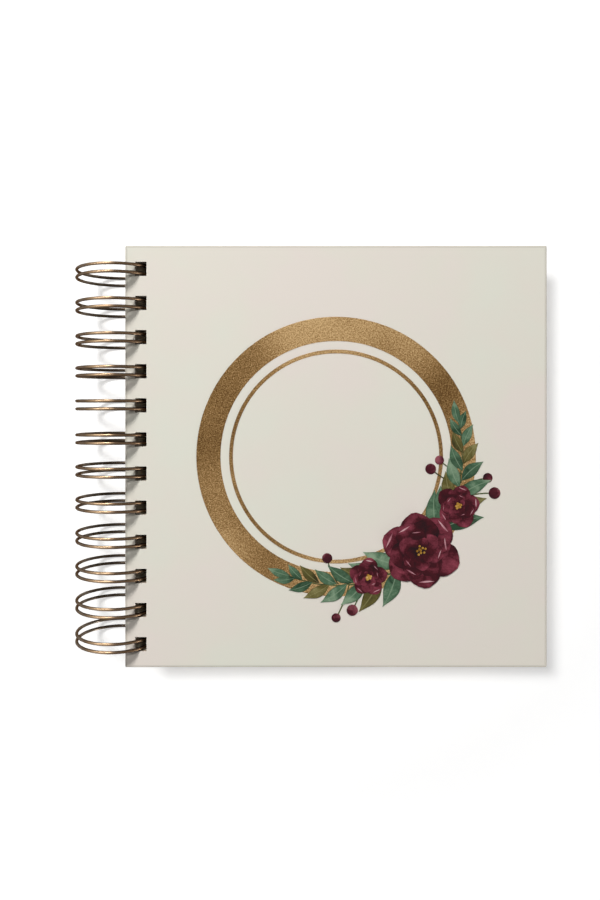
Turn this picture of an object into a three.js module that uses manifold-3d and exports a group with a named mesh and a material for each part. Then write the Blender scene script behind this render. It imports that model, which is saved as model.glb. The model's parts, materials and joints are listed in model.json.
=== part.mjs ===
// A square indexed notebook with hard covers, held by one bronze twin-loop wire.
// Millimetres, +Z up. The book lies closed on its back cover, its spine along Y on the -X side.
// The origin is under the middle of the whole outline, level with the lowest points of the loops.

import * as THREE from 'three';
import { mergeVertices } from 'three/addons/utils/BufferGeometryUtils.js';
import Module from 'manifold-3d';

const wasm = await Module();
wasm.setup();

// Covers: a greyboard core, wrapped in printed paper that is folded in over the edges, and lined inside
const coverWidth = 157; // spine edge to fore-edge
const coverHeight = 157; // head to tail
const boardThickness = 1.75;
const wrapThickness = 0.15;
const linerThickness = 0.15;
const turnIn = 15; // width of the wrap folded over the inside
const linerMargin = 3; // cover edge to liner edge
const glueEase = 0.1; // room between the edges of glued layers

// Foil stamped on the front cover: a broad hoop and a thin ring inside it
const foilThickness = 0.06;
const hoopDiameter = 104;
const hoopBand = 9;
const ringBand = 1.4;
const ringInset = 3.2; // clear space between hoop and thin ring
const foilSegments = 24;

// Leaves: sections of sheets, and an index card with a tab in front of each section but the first
const foreRoom = 13.5; // how much narrower than the covers the pages are, with room for the tabs
const pageInset = 2.5; // head edge of the covers to head edge of the pages
const dividerCount = 12;
const sectionThickness = 1.12;
const dividerThickness = 0.35;
const tabReach = 8; // how far a tab stands past the pages
const tabGap = 0.6; // along the edge, between one tab and the next
const tabCorner = 2.5;
const tabCornerSteps = 3;

// Wire: twin loops in square punched holes, two holes to the inch
const loopCount = 12;
const rowMargin = 6.15; // head edge of the pages to the middle of the first loop
const pairSpacing = 3; // between the two wires of a loop
const wireDiameter = 1.2;
const loopRise = 4.3; // how far the loops stand above and below the covers
const wirePlay = 0.18; // room between wire and hole, towards the spine and the fore-edge
const wireSidePlay = 0.55; // room between wire and hole, towards head and tail
const holeMargin = 3.8; // spine edge to hole
const seamAngle = -64; // degrees from the fore-edge side, where the wire's feet lie under the back cover
const seamGap = 1; // clear space between a loop's closed tip and the feet
const footBend = 1.2; // radius on the wire's centre line
const legSteps = 24;
const tipSteps = 6;
const footBendSteps = 3;
const wireSides = 6;

// Worked out from the sizes above, with heights measured from the middle of the block
const pageWidth = coverWidth - foreRoom;
const pageHeight = coverHeight - 2 * pageInset;
const loopPitch = (pageHeight - 2 * rowMargin) / (loopCount - 1); // 12.7, the standard one
const wireRadius = wireDiameter / 2;
const wrapDepth = 2 * wrapThickness + boardThickness;
const coverThickness = wrapDepth + linerThickness;
const blockThickness = dividerCount * dividerThickness + (dividerCount + 1) * sectionThickness;
const halfBlock = blockThickness / 2;
const halfBook = halfBlock + coverThickness;
const loopRadius = halfBook + loopRise - wireRadius; // to the wire's centre line
const holeHeight = pairSpacing + wireDiameter + 2 * wireSidePlay;

// The loops pass a layer between two heights inside a band, measured out from their common axis.
function loopBand(low, high) {
  const nearest = Math.max(low, -high, 0);
  const furthest = Math.max(Math.abs(low), Math.abs(high));
  return {
    inner: Math.sqrt((loopRadius - wireRadius) ** 2 - furthest ** 2),
    outer: Math.sqrt((loopRadius + wireRadius) ** 2 - nearest ** 2),
  };
}

// The thick covers need the widest holes, and one punch makes them all.
const coverBand = loopBand(halfBlock, halfBook);
const holeWidth = coverBand.outer - coverBand.inner + 2 * wirePlay;

// A layer's holes sit round the loops, and its spine edge lies one margin behind them.
function holeStart(low, high) {
  const band = loopBand(low, high);
  return (band.inner + band.outer - holeWidth) / 2;
}

const coverHole = holeStart(halfBlock, halfBook);
const coverSpine = coverHole - holeMargin;
const coverFore = coverSpine + coverWidth;
const loopReach = loopRadius + wireRadius;

// Looks
const paper = { roughness: 0.85, metalness: 0 };
const looks = {
  board: new THREE.MeshStandardMaterial({ color: 0x9b948a, roughness: 0.95, metalness: 0 }),
  wrap: new THREE.MeshStandardMaterial({ color: 0xe0d8cb, roughness: 0.6, metalness: 0 }),
  liner: new THREE.MeshStandardMaterial({ color: 0xeee8dc, ...paper }),
  foil: new THREE.MeshStandardMaterial({ color: 0xa8834f, roughness: 0.35, metalness: 1 }),
  sheets: new THREE.MeshStandardMaterial({ color: 0xf6f2e8, ...paper }),
  card: new THREE.MeshStandardMaterial({ color: 0xe6d9c4, ...paper }),
  wire: new THREE.MeshStandardMaterial({ color: 0x7a5f43, roughness: 0.35, metalness: 1 }),
};

// The book's own frame has its X and Z zero on the loops' common axis.
const book = new THREE.Group();
book.position.set((loopReach - coverFore) / 2, 0, loopReach);

function addPiece(name, geometry, material, height = 0) {
  const mesh = new THREE.Mesh(geometry, material);
  mesh.name = name;
  mesh.position.z = height;
  book.add(mesh);
}

function holeCentres() {
  return Array.from({ length: loopCount }, (_, i) => (i - (loopCount - 1) / 2) * loopPitch);
}

function traceRectangle(path, left, bottom, right, top) {
  path.moveTo(left, bottom);
  path.lineTo(right, bottom);
  path.lineTo(right, top);
  path.lineTo(left, top);
  path.closePath();
  return path;
}

function punch(shape, start) {
  for (const y of holeCentres()) {
    const hole = new THREE.Path();
    shape.holes.push(traceRectangle(hole, start, y - holeHeight / 2, start + holeWidth, y + holeHeight / 2));
  }
  return shape;
}

function plate(shape, thickness) {
  return new THREE.ExtrudeGeometry(shape, { depth: thickness, bevelEnabled: false });
}

// Joining and cutting of closed solids

function solidOf(geometry) {
  const bare = geometry.clone();
  bare.deleteAttribute('normal');
  bare.deleteAttribute('uv');
  const merged = mergeVertices(bare);
  return new wasm.Manifold(new wasm.Mesh({
    numProp: 3,
    vertProperties: new Float32Array(merged.attributes.position.array),
    triVerts: new Uint32Array(merged.index.array),
  }));
}

function geometryOf(solid) {
  const mesh = solid.getMesh();
  const geometry = new THREE.BufferGeometry();
  geometry.setAttribute('position', new THREE.BufferAttribute(mesh.vertProperties, 3));
  geometry.setIndex(new THREE.BufferAttribute(mesh.triVerts, 1));
  return geometry;
}

function block(left, right, bottom, top, low, high) {
  const box = new THREE.BoxGeometry(right - left, top - bottom, high - low);
  box.translate((left + right) / 2, (bottom + top) / 2, (low + high) / 2);
  return solidOf(box);
}

// A block that follows the cover's outline, drawn in by an inset.
function coverBlock(inset, low, high) {
  const top = coverHeight / 2 - inset;
  return block(coverSpine + inset, coverFore - inset, -top, top, low, high);
}

function punchSolid(solid, low, high) {
  let cut = solid;
  for (const y of holeCentres()) {
    const start = coverHole;
    cut = cut.subtract(block(start, start + holeWidth, y - holeHeight / 2, y + holeHeight / 2, low, high));
  }
  return cut;
}

// Covers. Depths run from a cover's outer face inwards, so the same layers serve front and back.

function coverLayer(cover, from, to) {
  const ends = [cover.outerFace + cover.inwards * from, cover.outerFace + cover.inwards * to];
  return [Math.min(...ends), Math.max(...ends)];
}

function addCoverBoard(cover) {
  const inset = wrapThickness + glueEase;
  const top = coverHeight / 2 - inset;
  const outline = traceRectangle(new THREE.Shape(), coverSpine + inset, -top, coverFore - inset, top);
  const [low] = coverLayer(cover, wrapThickness, wrapThickness + boardThickness);
  addPiece(`${cover.name}_board`, plate(punch(outline, coverHole), boardThickness), looks.board, low);
}

function addCoverWrap(cover) {
  const [low, high] = coverLayer(cover, 0, wrapDepth);
  const pocket = coverLayer(cover, wrapThickness, wrapThickness + boardThickness);
  const window = coverLayer(cover, wrapThickness + boardThickness / 2, wrapDepth + linerThickness);
  const folded = coverBlock(0, low, high)
    .subtract(coverBlock(wrapThickness, ...pocket))
    .subtract(coverBlock(turnIn, ...window));
  addPiece(`${cover.name}_wrap`, geometryOf(punchSolid(folded, low - 1, high + 1)), looks.wrap);
}

function addCoverLiner(cover) {
  const sheet = coverLayer(cover, wrapDepth, coverThickness);
  const sunk = coverLayer(cover, wrapThickness + boardThickness, wrapDepth + linerThickness / 2);
  const liner = coverBlock(linerMargin, ...sheet).add(coverBlock(turnIn + glueEase, ...sunk));
  const punched = punchSolid(liner, sheet[0] - 1, sheet[1] + 1);
  addPiece(`${cover.name}_liner`, geometryOf(punched), looks.liner);
}

function addCover(cover) {
  addCoverBoard(cover);
  addCoverWrap(cover);
  addCoverLiner(cover);
}

// Foil

function foilRing(outerRadius, band) {
  const ring = new THREE.Shape().absarc(0, 0, outerRadius, 0, 2 * Math.PI);
  ring.holes.push(new THREE.Path().absarc(0, 0, outerRadius - band, 0, 2 * Math.PI));
  const geometry = new THREE.ExtrudeGeometry(ring, {
    depth: foilThickness,
    bevelEnabled: false,
    curveSegments: foilSegments,
  });
  return geometry.translate((coverSpine + coverFore) / 2, 0, 0);
}

function addFoil() {
  addPiece('foil_hoop', foilRing(hoopDiameter / 2, hoopBand), looks.foil, halfBook);
  const inner = hoopDiameter / 2 - hoopBand - ringInset;
  addPiece('foil_inner_ring', foilRing(inner, ringBand), looks.foil, halfBook);
}

// Leaves

function addSection(name, low) {
  const start = holeStart(low, low + sectionThickness);
  const spine = start - holeMargin;
  const top = pageHeight / 2;
  const outline = traceRectangle(new THREE.Shape(), spine, -top, spine + pageWidth, top);
  addPiece(name, plate(punch(outline, start), sectionThickness), looks.sheets, low);
}

// The tabs step down the fore-edge, the first at the head.
function addDivider(name, number, low) {
  const start = holeStart(low, low + dividerThickness);
  const spine = start - holeMargin;
  const fore = spine + pageWidth;
  const tip = fore + tabReach;
  const top = pageHeight / 2;
  const tabPitch = pageHeight / dividerCount;
  const tabTop = top - (number - 1) * tabPitch - tabGap / 2;
  const tabBottom = top - number * tabPitch + tabGap / 2;
  const corner = Math.min(tabCorner, (tabTop - tabBottom) / 2, tabReach);
  const outline = new THREE.Shape();
  outline.moveTo(spine, -top);
  outline.lineTo(fore, -top);
  outline.lineTo(fore, tabBottom);
  outline.lineTo(tip - corner, tabBottom);
  outline.absarc(tip - corner, tabBottom + corner, corner, -Math.PI / 2, 0);
  outline.absarc(tip - corner, tabTop - corner, corner, 0, Math.PI / 2);
  outline.lineTo(fore, tabTop);
  outline.lineTo(fore, top);
  outline.lineTo(spine, top);
  outline.closePath();
  const geometry = new THREE.ExtrudeGeometry(punch(outline, start), {
    depth: dividerThickness,
    bevelEnabled: false,
    curveSegments: tabCornerSteps,
  });
  addPiece(name, geometry, looks.card, low);
}

function numbered(word, number) {
  return `${word}_${String(number).padStart(2, '0')}`;
}

// From the back of the book to the front: pages 12, divider 12, and so on up to the opening pages.
function addLeaves() {
  let low = -halfBlock;
  for (let number = dividerCount; number > 0; number -= 1) {
    addSection(numbered('pages', number), low);
    low += sectionThickness;
    addDivider(numbered('divider', number), number, low);
    low += dividerThickness;
  }
  addSection('opening_pages', low);
}

// Wire. It is one wire from head to tail, and is parted in the middle of each foot into its twelve twin loops, so
// that each is a simple form round an open middle. Its route lies on a cylinder: u runs round the cylinder and
// y along it, both in millimetres.

function loopRoute(y, atTail, atHead) {
  const foot = THREE.MathUtils.degToRad(seamAngle) * loopRadius;
  const tip = foot + 2 * Math.PI * loopRadius - wireDiameter - seamGap;
  const half = pairSpacing / 2;
  const legEnd = tip - half;
  const route = [];
  if (atTail) {
    route.push([foot, y - half]);
  } else {
    route.push([foot, y - loopPitch / 2]);
    addFootBend(route, foot, y - half, 1);
  }
  const legStart = route.at(-1)[0];
  for (let step = 1; step <= legSteps; step += 1) {
    route.push([legStart + ((legEnd - legStart) * step) / legSteps, y - half]);
  }
  for (let step = 1; step <= tipSteps; step += 1) {
    const turn = (Math.PI * step) / tipSteps;
    route.push([legEnd + half * Math.sin(turn), y - half * Math.cos(turn)]);
  }
  const back = atHead ? foot : foot + footBend;
  for (let step = 1; step <= legSteps; step += 1) {
    route.push([legEnd + ((back - legEnd) * step) / legSteps, y + half]);
  }
  if (!atHead) {
    addFootBend(route, foot, y + half, -1);
    route.push([foot, y + loopPitch / 2]);
  }
  return route;
}

// A quarter bend between a leg and the foot wire: side 1 turns up into a leg, -1 comes down out of one.
function addFootBend(route, foot, y, side) {
  for (let step = 0; step <= footBendSteps; step += 1) {
    const share = side > 0 ? step / footBendSteps : 1 - step / footBendSteps;
    const turn = (Math.PI / 2) * share;
    if (side < 0 && step === 0) {
      continue;
    }
    route.push([
      foot + footBend * (1 - Math.cos(turn)),
      y - side * footBend * (1 - Math.sin(turn)),
    ]);
  }
}

// A straight step of the tube cuts inside the circle, so its corners lie as far outside it as its middles inside.
function onCylinder([u, y]) {
  const halfStep = Math.PI / legSteps;
  const radius = (2 * loopRadius) / (1 + Math.cos(halfStep));
  const angle = u / loopRadius;
  return new THREE.Vector3(radius * Math.cos(angle), y, radius * Math.sin(angle));
}

// The tube's section turns with the cylinder's outward direction, so it never twists.
function tubeAlong(centres) {
  const positions = [];
  const index = [];
  centres.forEach((centre, i) => {
    const before = centres[Math.max(i - 1, 0)];
    const after = centres[Math.min(i + 1, centres.length - 1)];
    const outward = new THREE.Vector3(centre.x, 0, centre.z).normalize();
    const along = after.clone().sub(before);
    const sideways = along.cross(outward).normalize();
    for (let side = 0; side < wireSides; side += 1) {
      const turn = (2 * Math.PI * side) / wireSides;
      const point = centre.clone()
        .addScaledVector(outward, wireRadius * Math.cos(turn))
        .addScaledVector(sideways, wireRadius * Math.sin(turn));
      positions.push(point.x, point.y, point.z);
    }
  });
  for (let ring = 0; ring + 1 < centres.length; ring += 1) {
    for (let side = 0; side < wireSides; side += 1) {
      const a = ring * wireSides + side;
      const b = ring * wireSides + ((side + 1) % wireSides);
      index.push(a, b, a + wireSides, b, b + wireSides, a + wireSides);
    }
  }
  const last = (centres.length - 1) * wireSides;
  for (let side = 1; side + 1 < wireSides; side += 1) {
    index.push(0, side + 1, side);
    index.push(last, last + side, last + side + 1);
  }
  const geometry = new THREE.BufferGeometry();
  geometry.setAttribute('position', new THREE.Float32BufferAttribute(positions, 3));
  geometry.setIndex(index);
  return geometry;
}

// The least clear space between stretches of the wire that lie a few diameters apart along it.
function leastGap(centres) {
  const along = [0];
  for (let i = 1; i < centres.length; i += 1) {
    along.push(along[i - 1] + centres[i].distanceTo(centres[i - 1]));
  }
  const apart = 4 * wireDiameter;
  let least = Infinity;
  for (let i = 0; i < centres.length; i += 1) {
    for (let j = i + 1; j < centres.length; j += 1) {
      if (along[j] - along[i] > apart) {
        least = Math.min(least, centres[i].distanceTo(centres[j]));
      }
    }
  }
  return least - wireDiameter;
}

// Loops are numbered from the head, as the tabs are.
function addWire() {
  const loops = holeCentres().map((y, i) => loopRoute(y, i === 0, i === loopCount - 1).map(onCylinder));
  console.log(`wire: least gap to itself ${leastGap(loops.flat()).toFixed(2)} mm`);
  loops.reverse().forEach((centres, i) => {
    addPiece(numbered('wire_loop', i + 1), tubeAlong(centres), looks.wire);
  });
}

addCover({ name: 'back_cover', outerFace: -halfBook, inwards: 1 });
addWire();
addLeaves();
addCover({ name: 'front_cover', outerFace: halfBook, inwards: -1 });
addFoil();

export default book;
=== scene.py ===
# %% [markdown]
# # A square indexed notebook
#
# This lesson dresses a hard-cover notebook that is held by a bronze twin-loop wire. The solids
# come in as a fixed frame, in metres, with +Z up and the spine along Y. Everything below either
# gives those solids a finish, or stands a finer piece where a solid was.

import json
import math
import random

import bpy
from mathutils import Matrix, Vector


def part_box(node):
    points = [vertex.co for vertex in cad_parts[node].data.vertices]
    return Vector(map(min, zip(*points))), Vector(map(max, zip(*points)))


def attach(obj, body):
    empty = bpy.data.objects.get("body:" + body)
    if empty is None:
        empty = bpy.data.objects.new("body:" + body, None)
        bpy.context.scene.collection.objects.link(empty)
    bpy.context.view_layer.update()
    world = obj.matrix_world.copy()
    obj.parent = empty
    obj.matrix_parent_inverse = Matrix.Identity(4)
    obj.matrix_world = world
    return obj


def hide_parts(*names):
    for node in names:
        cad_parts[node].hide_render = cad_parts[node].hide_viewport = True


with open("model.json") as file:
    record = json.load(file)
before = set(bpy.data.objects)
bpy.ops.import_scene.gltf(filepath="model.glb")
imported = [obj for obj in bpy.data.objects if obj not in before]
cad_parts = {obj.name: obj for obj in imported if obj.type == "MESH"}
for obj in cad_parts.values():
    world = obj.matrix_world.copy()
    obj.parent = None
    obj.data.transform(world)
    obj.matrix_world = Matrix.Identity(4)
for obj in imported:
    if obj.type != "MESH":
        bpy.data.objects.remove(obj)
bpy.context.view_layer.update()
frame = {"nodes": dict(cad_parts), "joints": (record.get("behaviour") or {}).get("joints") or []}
nodes = frame["nodes"]

# %% [markdown]
# Sizes are easiest to read in millimetres, and Blender works in metres, so every size below is
# written as a number times MM.

# %% Units and the loops' axis
MM = 0.001
AXIS = Vector(frame["joints"][0]["pos_m"])  # a point on the common axis of all the wire loops
print("loops' axis at", [round(value / MM, 2) for value in AXIS], "mm")

# %% [markdown]
# A few small helpers keep the cells short. Operators act on all that is selected, so `only`
# clears the selection first. A finished piece keeps its place in its mesh, with its object at
# the origin, so `settle` applies whatever transform the modelling left behind.

# %% Selecting and placing
def only(*pieces):
    bpy.ops.object.select_all(action="DESELECT")
    for piece in pieces:
        piece.select_set(True)
    bpy.context.view_layer.objects.active = pieces[0]


def settle(piece):
    only(piece)
    bpy.ops.object.transform_apply(location=True, rotation=True, scale=True)
    return piece


def apply_modifiers(piece):
    only(piece)
    for modifier in list(piece.modifiers):
        bpy.ops.object.modifier_apply(modifier=modifier.name)
    return piece


# %% Blocks and cuts
def block(name, low, high):
    """A cube primitive stretched between two corners, as a start for a piece or a cutter."""
    low, high = Vector(low), Vector(high)
    bpy.ops.mesh.primitive_cube_add(size=1, location=(low + high) / 2)
    piece = bpy.context.object
    piece.name = name
    piece.scale = high - low
    return settle(piece)


def cut(piece, cutter):
    """Cuts one solid out of another, and clears the cutter away."""
    modifier = piece.modifiers.new("cut", "BOOLEAN")
    modifier.operation = "DIFFERENCE"
    modifier.solver = "EXACT"
    modifier.object = cutter
    apply_modifiers(piece)
    bpy.data.objects.remove(cutter)
    return piece


# %% Joins and copies
def join(name, pieces):
    only(*pieces)
    bpy.ops.object.join()
    joined = bpy.context.object
    joined.name = name
    return joined


def copy_of(piece, name, offset=(0, 0, 0)):
    """A copy with its own mesh, moved by changing the mesh and not the object."""
    twin = piece.copy()
    twin.data = piece.data.copy()
    twin.name = name
    bpy.context.collection.objects.link(twin)
    for vertex in twin.data.vertices:
        vertex.co += Vector(offset)
    return twin


# %% [markdown]
# Materials share four helpers. Colours are written as the hex values a designer would pick, and
# `linear` turns them to the values that the shader wants. `add` makes a node with its settings, its
# values and its links, so each material reads as a list of what it is made of. `start_material`
# opens a new material, and `dress` puts it on a piece.

# %% Colours
def linear(hex_colour):
    """An sRGB hex colour as linear red, green, blue and alpha."""
    channels = [int(hex_colour[i:i + 2], 16) / 255 for i in (1, 3, 5)]
    return [c / 12.92 if c <= 0.04045 else ((c + 0.055) / 1.055) ** 2.4 for c in channels] + [1]


# %% Nodes
def add(tree, kind, values=None, stops=None, **settings):
    """Adds a node. A value that is a socket is linked, and any other is set. Stops fill a colour ramp."""
    node = tree.nodes.new(kind)
    for name, setting in settings.items():
        setattr(node, name, setting)
    for name, value in (values or {}).items():
        if isinstance(value, bpy.types.NodeSocket):
            tree.links.new(value, node.inputs[name])
        else:
            node.inputs[name].default_value = value
    if stops:
        ramp = node.color_ramp.elements
        while len(ramp) < len(stops):
            ramp.new(0.5)
        for element, (position, colour) in zip(ramp, stops):
            element.position = position
            element.color = linear(colour)
    return node


# %% Starting and dressing
def start_material(name, roughness, metallic=0.0):
    """A new material's tree, its shader, and the piece's own coordinates in metres."""
    material = bpy.data.materials.new(name)
    material.use_nodes = True
    tree = material.node_tree
    shader = tree.nodes["Principled BSDF"]
    shader.inputs["Roughness"].default_value = roughness
    shader.inputs["Metallic"].default_value = metallic
    place = add(tree, "ShaderNodeTexCoord").outputs["Object"]
    return material, tree, shader, place


def dress(piece, *materials):
    piece.data.materials.clear()
    for material in materials:
        piece.data.materials.append(material)


# %% [markdown]
# ## The camera
#
# The photograph looks straight down on the closed book from a quarter of a metre over its cover, a
# little to the left of its middle and towards its head. So near a camera makes the loops at the
# head lean one way and those at the tail the other. The frame is 600 by 900 pixels. The lens comes
# from the focal length in pixels, and the shift from the pixel that the lens axis passes through.

# %% Camera
FRAME_WIDTH, FRAME_HEIGHT = 600, 900
FOCAL_PIXELS = 688.0
AXIS_PIXEL = (238.6, 402.5)
CAMERA_PLACE = (-25.8 * MM, 20.1 * MM, 283.5 * MM)
SENSOR = 36.0

bpy.ops.object.camera_add(location=CAMERA_PLACE, rotation=(0, 0, 0))
camera = bpy.context.object
camera.data.sensor_width = SENSOR
camera.data.lens = FOCAL_PIXELS / FRAME_HEIGHT * SENSOR
camera.data.shift_x = (FRAME_WIDTH / 2 - AXIS_PIXEL[0]) / FRAME_HEIGHT
camera.data.shift_y = (AXIS_PIXEL[1] - FRAME_HEIGHT / 2) / FRAME_HEIGHT
camera.data.clip_start = 0.01
bpy.context.scene.camera = camera
print("lens", round(camera.data.lens, 2), "mm")
print("shift", round(camera.data.shift_x, 4), round(camera.data.shift_y, 4))

# %% [markdown]
# ## Laminated cover paper
#
# The covers are wrapped in printed art paper under a matt film. The film gives a soft, wide
# highlight and evens the paper out, so the eye sees a calm ivory with only faint clouds of warmer
# and greener tone, and a tooth that is finer than a fingertip feels. Within a millimetre of the
# folded edges the colour greys, as painted shade.

# %% Laminated wrap
CLOUD = 45 * MM
TOOTH = 0.5 * MM

wrap_paper, tree, shader, place = start_material("matt_laminated_paper", 0.62)
shader.inputs["Specular IOR Level"].default_value = 0.3
clouds = add(
    tree, "ShaderNodeTexNoise",
    {"Vector": place, "Scale": 1 / CLOUD, "Detail": 3.0, "Roughness": 0.55},
)
ivory = add(
    tree, "ShaderNodeValToRGB", {"Fac": clouds.outputs["Fac"]},
    stops=[(0.36, "#eeeddf"), (0.5, "#f0ebde"), (0.64, "#f2e9df")],
)
tooth = add(tree, "ShaderNodeTexNoise", {"Vector": place, "Scale": 1 / TOOTH, "Detail": 2.0})
relief = add(
    tree, "ShaderNodeBump",
    {"Height": tooth.outputs["Fac"], "Strength": 0.12, "Distance": 0.02 * MM},
)
print("clouds of", round(CLOUD / MM), "mm, tooth of", round(TOOTH / MM, 1), "mm")

# %% Painted shade at the folds
EDGE_SHADE_WIDTH = 1.1 * MM  # how far in from a fold the painted shade reaches
EDGE_SHADE_SHARE = 0.6  # share of painted shade at the fold itself

cover_low, cover_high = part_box("front_cover_wrap")
centred = add(
    tree, "ShaderNodeVectorMath",
    {0: place, 1: ((cover_low.x + cover_high.x) / 2, 0, 0)}, operation="SUBTRACT",
)
off_centre = add(tree, "ShaderNodeVectorMath", {0: centred.outputs[0]}, operation="ABSOLUTE")
split = add(tree, "ShaderNodeSeparateXYZ", {"Vector": off_centre.outputs[0]})
furthest = add(tree, "ShaderNodeMath", {0: split.outputs["X"], 1: split.outputs["Y"]}, operation="MAXIMUM")
painted_edge_shade = add(
    tree, "ShaderNodeMapRange", {
        "Value": furthest.outputs[0], "From Min": cover_high.y - EDGE_SHADE_WIDTH, "From Max": cover_high.y,
        "To Max": EDGE_SHADE_SHARE,
    },
)
# Near each fold the ivory is greyed towards #a9a193, as painted shade.
paper = add(
    tree, "ShaderNodeMix",
    {"Factor": painted_edge_shade.outputs["Result"], 6: ivory.outputs["Color"], 7: linear("#a9a193")}, data_type="RGBA",
)
tree.links.new(paper.outputs[2], shader.inputs["Base Color"])
tree.links.new(relief.outputs["Normal"], shader.inputs["Normal"])
print("made", wrap_paper.name)

# %% [markdown]
# ## Greyboard
#
# The stiff core is pulped waste paper, pressed flat. It only shows in the walls of the punched
# holes. It is a deep grey-brown with flecks of paler fibre, darker than plain greyboard, as painted
# shade in the holes.

# %% Greyboard
FLECK = 0.35 * MM

greyboard, tree, shader, place = start_material("pressed_greyboard", 0.95)
flecks = add(tree, "ShaderNodeTexNoise", {"Vector": place, "Scale": 1 / FLECK, "Detail": 3.0})
# This grey-brown is darker than plain greyboard, as painted shade in the holes.
grey = add(
    tree, "ShaderNodeValToRGB", {"Fac": flecks.outputs["Fac"]},
    stops=[(0.35, "#7b6e5f"), (0.65, "#9f9281")],
)
fibres = add(
    tree, "ShaderNodeBump",
    {"Height": flecks.outputs["Fac"], "Strength": 0.5, "Distance": 0.05 * MM},
)
tree.links.new(grey.outputs["Color"], shader.inputs["Base Color"])
tree.links.new(fibres.outputs["Normal"], shader.inputs["Normal"])
print("made", greyboard.name)

# %% [markdown]
# ## Book paper
#
# The liners are uncoated paper: bright, quite matt, with a felt-like tooth. The leaves are the
# same kind of paper with pale ruled lines, printed at a spacing that suits handwriting. Their cut
# edges are a deeper cream than the faces, partly the pulp that the guillotine bared and partly
# painted shade between the sheets.

# %% Liner paper
FELT = 0.6 * MM

liner_paper, tree, shader, place = start_material("uncoated_liner_paper", 0.88)
felt = add(
    tree, "ShaderNodeTexNoise",
    {"Vector": place, "Scale": 1 / FELT, "Detail": 4.0, "Roughness": 0.6},
)
cream = add(
    tree, "ShaderNodeValToRGB", {"Fac": felt.outputs["Fac"]},
    stops=[(0.3, "#e9e3d6"), (0.7, "#f0ebe0")],
)
nap = add(tree, "ShaderNodeBump", {"Height": felt.outputs["Fac"], "Strength": 0.2, "Distance": 0.03 * MM})
tree.links.new(cream.outputs["Color"], shader.inputs["Base Color"])
tree.links.new(nap.outputs["Normal"], shader.inputs["Normal"])
print("made", liner_paper.name)

# %% Ruled leaf paper
RULE_SPACING = 7 * MM
RULE_SHARE = 0.035  # of the spacing
RULED = {"X": (-50 * MM, 72 * MM), "Y": (-64 * MM, 62 * MM)}  # no line is printed out to an edge

leaf_paper, tree, shader, place = start_material("ruled_book_paper", 0.9)
shader.inputs["Specular IOR Level"].default_value = 0.2
split = add(tree, "ShaderNodeSeparateXYZ", {"Vector": place})
rows = add(tree, "ShaderNodeMath", {0: split.outputs["Y"], 1: 1 / RULE_SPACING}, operation="MULTIPLY")
within = add(tree, "ShaderNodeMath", {0: rows.outputs[0]}, operation="FRACT")
line = add(tree, "ShaderNodeMath", {0: within.outputs[0], 1: RULE_SHARE}, operation="LESS_THAN")
for direction, (start, end) in RULED.items():
    past = add(tree, "ShaderNodeMath", {0: split.outputs[direction], 1: start}, operation="GREATER_THAN")
    before = add(tree, "ShaderNodeMath", {0: split.outputs[direction], 1: end}, operation="LESS_THAN")
    both = add(tree, "ShaderNodeMath", {0: past.outputs[0], 1: before.outputs[0]}, operation="MULTIPLY")
    line = add(tree, "ShaderNodeMath", {0: line.outputs[0], 1: both.outputs[0]}, operation="MULTIPLY")
rules = add(tree, "ShaderNodeValToRGB", {"Fac": line.outputs[0]}, stops=[(0.0, "#eae3d5"), (1.0, "#b0b3b9")])
# Upright faces, the cut edges, take #d1c7b3: partly the pulp, partly painted shade between the sheets.
upright = add(tree, "ShaderNodeSeparateXYZ", {"Vector": tree.nodes["Texture Coordinate"].outputs["Normal"]})
flat = add(tree, "ShaderNodeMath", {0: upright.outputs["Z"]}, operation="ABSOLUTE")
cut_edge_tone_and_shade = add(
    tree, "ShaderNodeMix",
    {"Factor": flat.outputs[0], 6: linear("#d1c7b3"), 7: rules.outputs["Color"]}, data_type="RGBA",
)
fibre = add(tree, "ShaderNodeTexNoise", {"Vector": place, "Scale": 1 / FELT, "Detail": 3.0})
nap = add(tree, "ShaderNodeBump", {"Height": fibre.outputs["Fac"], "Strength": 0.15, "Distance": 0.03 * MM})
tree.links.new(cut_edge_tone_and_shade.outputs[2], shader.inputs["Base Color"])
tree.links.new(nap.outputs["Normal"], shader.inputs["Normal"])
print("made", leaf_paper.name)

# %% [markdown]
# ## Index card
#
# The dividers are heavier card with a slight tooth and a warmer tone, so the eye can find them
# among the leaves.

# %% Index card
index_card, tree, shader, place = start_material("toothed_index_card", 0.82)
felt = add(
    tree, "ShaderNodeTexNoise",
    {"Vector": place, "Scale": 1 / FELT, "Detail": 5.0, "Roughness": 0.65},
)
sand = add(
    tree, "ShaderNodeValToRGB", {"Fac": felt.outputs["Fac"]},
    stops=[(0.3, "#e6d9c1"), (0.7, "#efe4cf")],
)
nap = add(tree, "ShaderNodeBump", {"Height": felt.outputs["Fac"], "Strength": 0.3, "Distance": 0.04 * MM})
tree.links.new(sand.outputs["Color"], shader.inputs["Base Color"])
tree.links.new(nap.outputs["Normal"], shader.inputs["Normal"])
print("made", index_card.name)

# %% [markdown]
# ## Antique bronze wire
#
# Binding wire is soft steel with a thin bronze coat, drawn smooth. Its colour carries painted light.
# How far a spot faces outwards sets the coat's colour, darkest on the outer flanks, a little lighter
# at the crest and a dull grey-brown on the inner side, as painted reflection and shade. High on the
# spine side a tan line is a painted highlight, at the spine end a grey patch is a painted reflection,
# and under the covers the darkest brown is painted shade. How far a spot faces outwards is found by
# comparing its normal with the direction away from the loops' axis, and how far round it is, by
# comparing that direction with the middle of each patch.

# %% Bronze coat
PATINA = 5 * MM

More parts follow.
